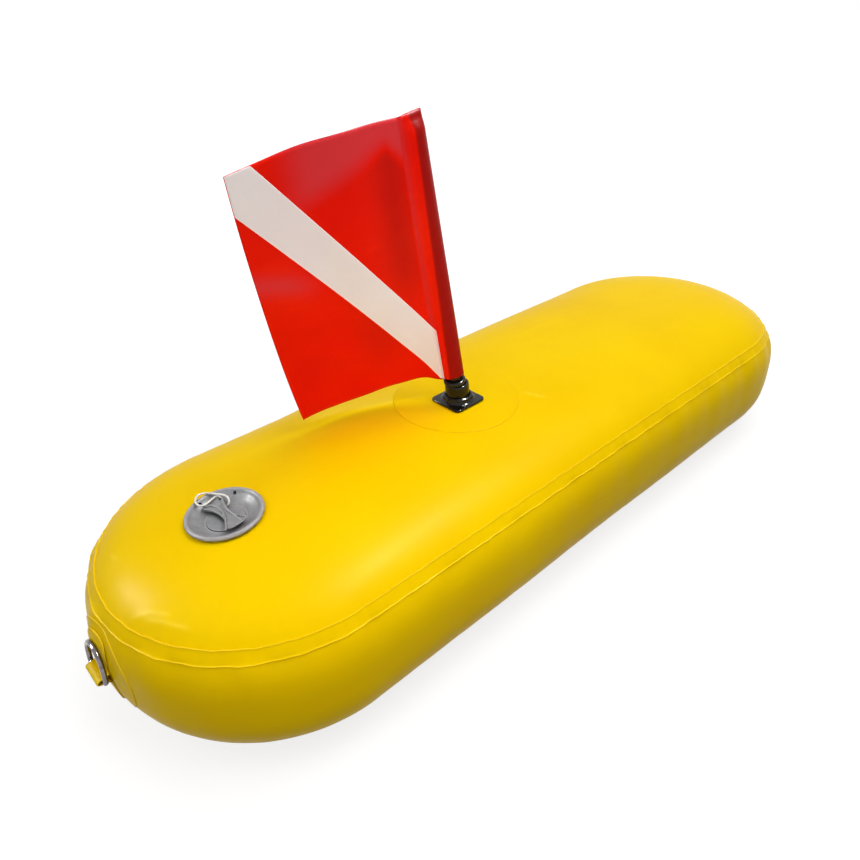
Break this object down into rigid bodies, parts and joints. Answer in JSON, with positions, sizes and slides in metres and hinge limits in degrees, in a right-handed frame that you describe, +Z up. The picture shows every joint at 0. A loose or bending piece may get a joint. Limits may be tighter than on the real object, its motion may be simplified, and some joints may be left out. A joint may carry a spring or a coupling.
{
  "type": "dive flag float",
  "caption": "Inflatable tow float for divers with a flag on a pole in a moulded socket, a bayonet inflation valve in a dish and a tow ring on its nose.",
  "frame": {"origin": "middle of the flat that the float rests on", "axes": "+X from the nose with the tow ring to the tail, +Z up"},
  "size_m": [1.1113, 0.375, 0.5359],
  "materials": {
    "pvc_yellow": "semi-gloss welded PVC sheet",
    "pvc_red": "glossy PVC sheet",
    "pvc_white": "white PVC strip",
    "moulded_black": "glossy moulded plastic",
    "moulded_grey": "satin moulded PVC",
    "rubber_black": "soft seal rubber",
    "cord_white": "braided cord",
    "stainless": "polished stainless wire"
  },
  "bodies": {
    "float": {"top_panel": "pvc_yellow", "side_wall": "pvc_yellow", "bottom_panel": "pvc_yellow", "seam_band_top": "pvc_yellow", "seam_band_bottom": "pvc_yellow", "tie_web_left": "pvc_yellow", "tie_web_right": "pvc_yellow", "socket_patch": "pvc_yellow", "socket_base": "moulded_black", "socket_tube": "moulded_black", "valve_flange": "moulded_grey", "valve_seat": "moulded_grey", "ring_patch": "pvc_yellow", "ring_strap": "pvc_yellow"},
    "flag_pole": {"pole": "moulded_black", "pole_stop_ring": "moulded_black", "pole_foot_plug": "moulded_black", "pole_head_plug": "moulded_black"},
    "flag": {"flag_panel": "pvc_red", "stripe_near": "pvc_white", "stripe_far": "pvc_white"},
    "seal": {"plug_gasket": "rubber_black"},
    "plug": {"valve_plug": "moulded_grey", "plug_cord": "cord_white", "cord_knot": "cord_white"},
    "check_valve": {"check_diaphragm": "rubber_black"},
    "tow_ring": {"d_ring": "stainless"}
  },
  "joints": [
    {"name": "pole_lift", "type": "slide", "parent": "float", "child": "flag_pole", "axis": [-0.1688, -0.0155, 0.9855], "range_m": [0, 0.048]},
    {"name": "flag_swivel", "type": "hinge", "parent": "flag_pole", "child": "flag", "pos_m": [-0.0874, -0.0109, 0.1992], "axis": [-0.1688, -0.0155, 0.9855], "continuous": true},
    {"name": "plug_lift", "type": "slide", "parent": "float", "child": "seal", "axis": [-0.0419, 0, 0.9991], "range_m": [0, 0.0015]},
    {"name": "plug_turn", "type": "hinge", "parent": "seal", "child": "plug", "pos_m": [-0.4034, -0.005, 0.19934], "axis": [-0.0419, 0, 0.9991], "range_deg": [0, 90]},
    {"name": "diaphragm_stroke", "type": "slide", "parent": "float", "child": "check_valve", "axis": [0.0419, 0, -0.9991], "range_m": [0, 0.0025], "stiffness_N_per_m": 40, "springref_m": -0.001},
    {"name": "ring_swing", "type": "hinge", "parent": "float", "child": "tow_ring", "pos_m": [-0.5573, 0, 0.0952], "axis": [0, -1, 0], "range_deg": [0, 195]}
  ],
  "couplings": [
    {"joint": "plug_turn", "follows": "plug_lift", "rad_per_m": 1047.2}
  ]
}
